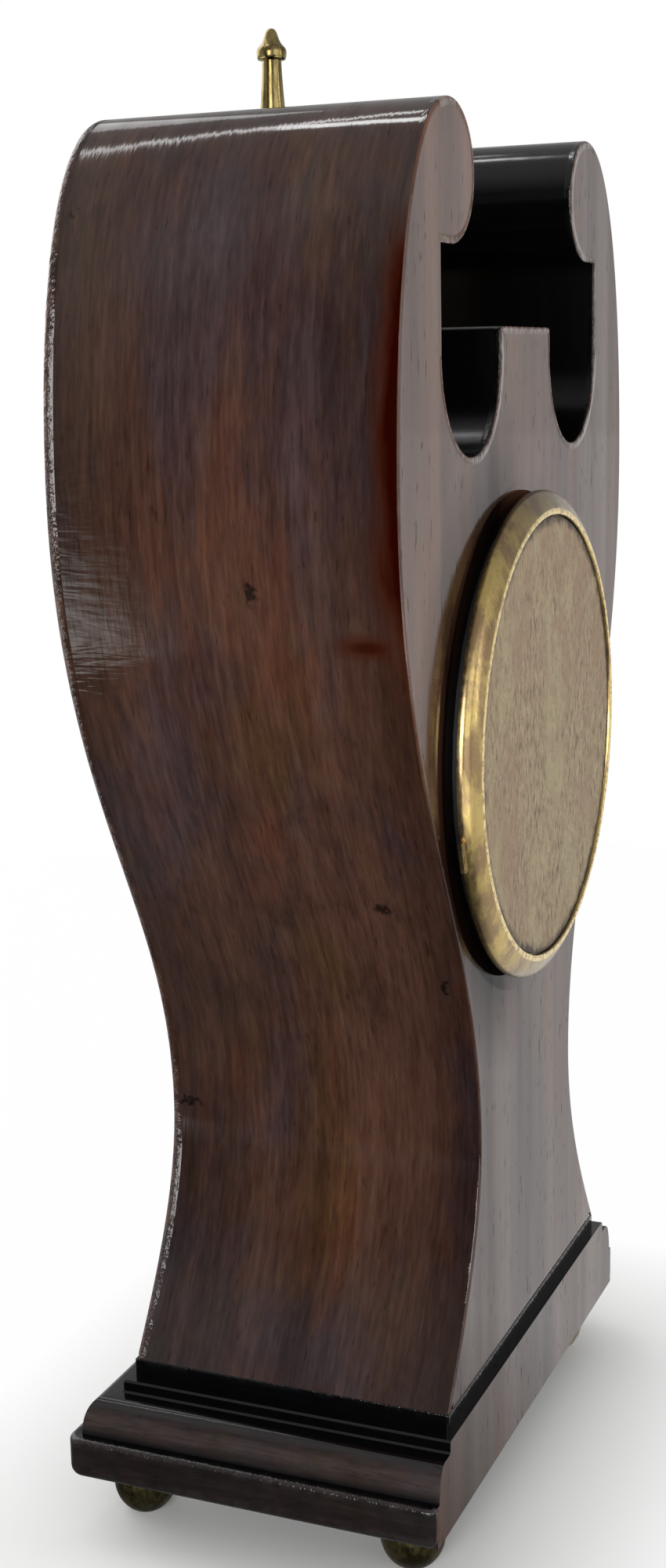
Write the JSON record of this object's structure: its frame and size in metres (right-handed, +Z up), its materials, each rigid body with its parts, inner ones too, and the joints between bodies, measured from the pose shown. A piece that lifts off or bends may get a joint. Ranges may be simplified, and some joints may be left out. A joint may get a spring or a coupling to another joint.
{
  "type": "mantel clock",
  "caption": "Balloon-shaped wooden mantel clock on a moulded base with bun feet, scrolled ears, a turned finial and a hinged round back cover.",
  "frame": {"origin": "on the floor under the middle of the bounding box", "axes": "+Z up, the dial faces -Y, +X is the right side seen from the front"},
  "size_m": [0.14, 0.0816, 0.291],
  "materials": {
    "mahogany": "French-polished dark mahogany",
    "raw_wood": "plain unpolished timber",
    "ebonised": "ebonised and polished",
    "aged_brass": "tarnished",
    "brass": "polished, aged",
    "panel": "dull, oxidised",
    "enamel": "glossy enamel",
    "glass": "clear",
    "blued_steel": "blued",
    "steel": "bright"
  },
  "bodies": {
    "case": {"case_front_board": "mahogany", "case_back_board": "mahogany", "case_side_left": "mahogany", "case_side_right": "mahogany", "throat_lining": "mahogany", "base_moulding_front": "mahogany", "base_moulding_left": "mahogany", "base_moulding_right": "mahogany", "plinth": "mahogany", "case_bottom_board": "raw_wood", "base_core": "raw_wood", "ebonised_strip": "ebonised", "foot_front_left": "aged_brass", "foot_front_right": "aged_brass", "foot_back_left": "aged_brass", "foot_back_right": "aged_brass", "finial": "brass", "front_bezel": "brass", "dial_pan": "brass", "front_plate": "brass", "back_plate": "brass", "pillar_1": "brass", "pillar_2": "brass", "pillar_3": "brass", "pillar_4": "brass", "platform": "brass", "balance_cock": "brass", "strap_left": "brass", "strap_right": "brass", "back_ring": "brass", "dial": "enamel", "front_glass": "glass", "hairspring": "blued_steel", "click_spring": "steel", "strap_screw_left": "steel", "strap_screw_right": "steel", "cover_hinge_pin": "steel"},
    "centre_arbor": {"centre_wheel": "brass", "hand_setting_knob": "brass", "cannon_pinion": "steel", "minute_hand": "blued_steel"},
    "hour_work": {"hour_wheel": "brass", "hour_hand": "blued_steel"},
    "minute_work": {"minute_wheel": "brass"},
    "barrel_body": {"barrel": "brass", "barrel_cap": "brass", "mainspring": "steel"},
    "intermediate_arbor": {"intermediate_wheel": "brass"},
    "third_arbor": {"third_wheel": "brass"},
    "fourth_arbor": {"fourth_wheel": "brass"},
    "escape_arbor": {"escape_wheel": "steel"},
    "winding_work": {"winding_arbor": "steel", "ratchet_wheel": "steel"},
    "click_pawl": {"click": "steel"},
    "lever": {"pallet_lever": "steel"},
    "balance": {"balance_wheel": "brass"},
    "regulator_index": {"regulator": "steel"},
    "back_cover": {"back_cover_rim": "brass", "back_cover_panel": "panel"}
  },
  "joints": [
    {"name": "back_cover_hinge", "type": "hinge", "parent": "case", "child": "back_cover", "pos_m": [-0.0495, 0.0371, 0.1544], "axis": [0, 0, 1], "range_deg": [0, 110]},
    {"name": "centre_turn", "type": "hinge", "parent": "case", "child": "centre_arbor", "pos_m": [0, 0.0021, 0.1544], "axis": [0, 1, 0], "continuous": true},
    {"name": "hour_turn", "type": "hinge", "parent": "case", "child": "hour_work", "pos_m": [0, -0.0219, 0.1544], "axis": [0, 1, 0], "continuous": true},
    {"name": "minute_wheel_turn", "type": "hinge", "parent": "case", "child": "minute_work", "pos_m": [-0.00902, -0.0199, 0.15112], "axis": [0, 1, 0], "continuous": true},
    {"name": "barrel_turn", "type": "hinge", "parent": "case", "child": "barrel_body", "pos_m": [0, -0.0069, 0.1344], "axis": [0, 1, 0], "continuous": true},
    {"name": "intermediate_turn", "type": "hinge", "parent": "case", "child": "intermediate_arbor", "pos_m": [0.01655, 0.0021, 0.14733], "axis": [0, 1, 0], "continuous": true},
    {"name": "third_turn", "type": "hinge", "parent": "case", "child": "third_arbor", "pos_m": [-0.0081, 0.0021, 0.16843], "axis": [0, 1, 0], "continuous": true},
    {"name": "fourth_turn", "type": "hinge", "parent": "case", "child": "fourth_arbor", "pos_m": [0.00484, 0.0021, 0.17314], "axis": [0, 1, 0], "continuous": true},
    {"name": "escape_turn", "type": "hinge", "parent": "case", "child": "escape_arbor", "pos_m": [-0.00365, 0.0021, 0.18325], "axis": [0, 1, 0], "continuous": true},
    {"name": "winding_turn", "type": "hinge", "parent": "case", "child": "winding_work", "pos_m": [0, 0.0161, 0.1344], "axis": [0, 1, 0], "range_deg": [0, 1800]},
    {"name": "click_lift", "type": "hinge", "parent": "case", "child": "click_pawl", "pos_m": [0.00813, 0.0161, 0.14253], "axis": [0, 1, 0], "range_deg": [0, 12]},
    {"name": "lever_rock", "type": "hinge", "parent": "case", "child": "lever", "pos_m": [-0.00853, 0.0189, 0.18147], "axis": [0, 1, 0], "range_deg": [-4, 4]},
    {"name": "balance_swing", "type": "hinge", "parent": "case", "child": "balance", "pos_m": [-0.01464, 0.0211, 0.17925], "axis": [0, 1, 0], "range_deg": [-200, 200]},
    {"name": "regulator_turn", "type": "hinge", "parent": "case", "child": "regulator_index", "pos_m": [-0.01464, 0.0246, 0.17925], "axis": [0, 1, 0], "range_deg": [-25, 25]}
  ],
  "couplings": [
    {"joint": "hour_turn", "follows": "centre_turn", "ratio": 0.083333},
    {"joint": "minute_wheel_turn", "follows": "centre_turn", "ratio": -0.33333},
    {"joint": "barrel_turn", "follows": "centre_turn", "ratio": 0.033333},
    {"joint": "intermediate_turn", "follows": "centre_turn", "ratio": -0.2},
    {"joint": "third_turn", "follows": "centre_turn", "ratio": -8},
    {"joint": "fourth_turn", "follows": "centre_turn", "ratio": 60},
    {"joint": "escape_turn", "follows": "centre_turn", "ratio": -600}
  ]
}
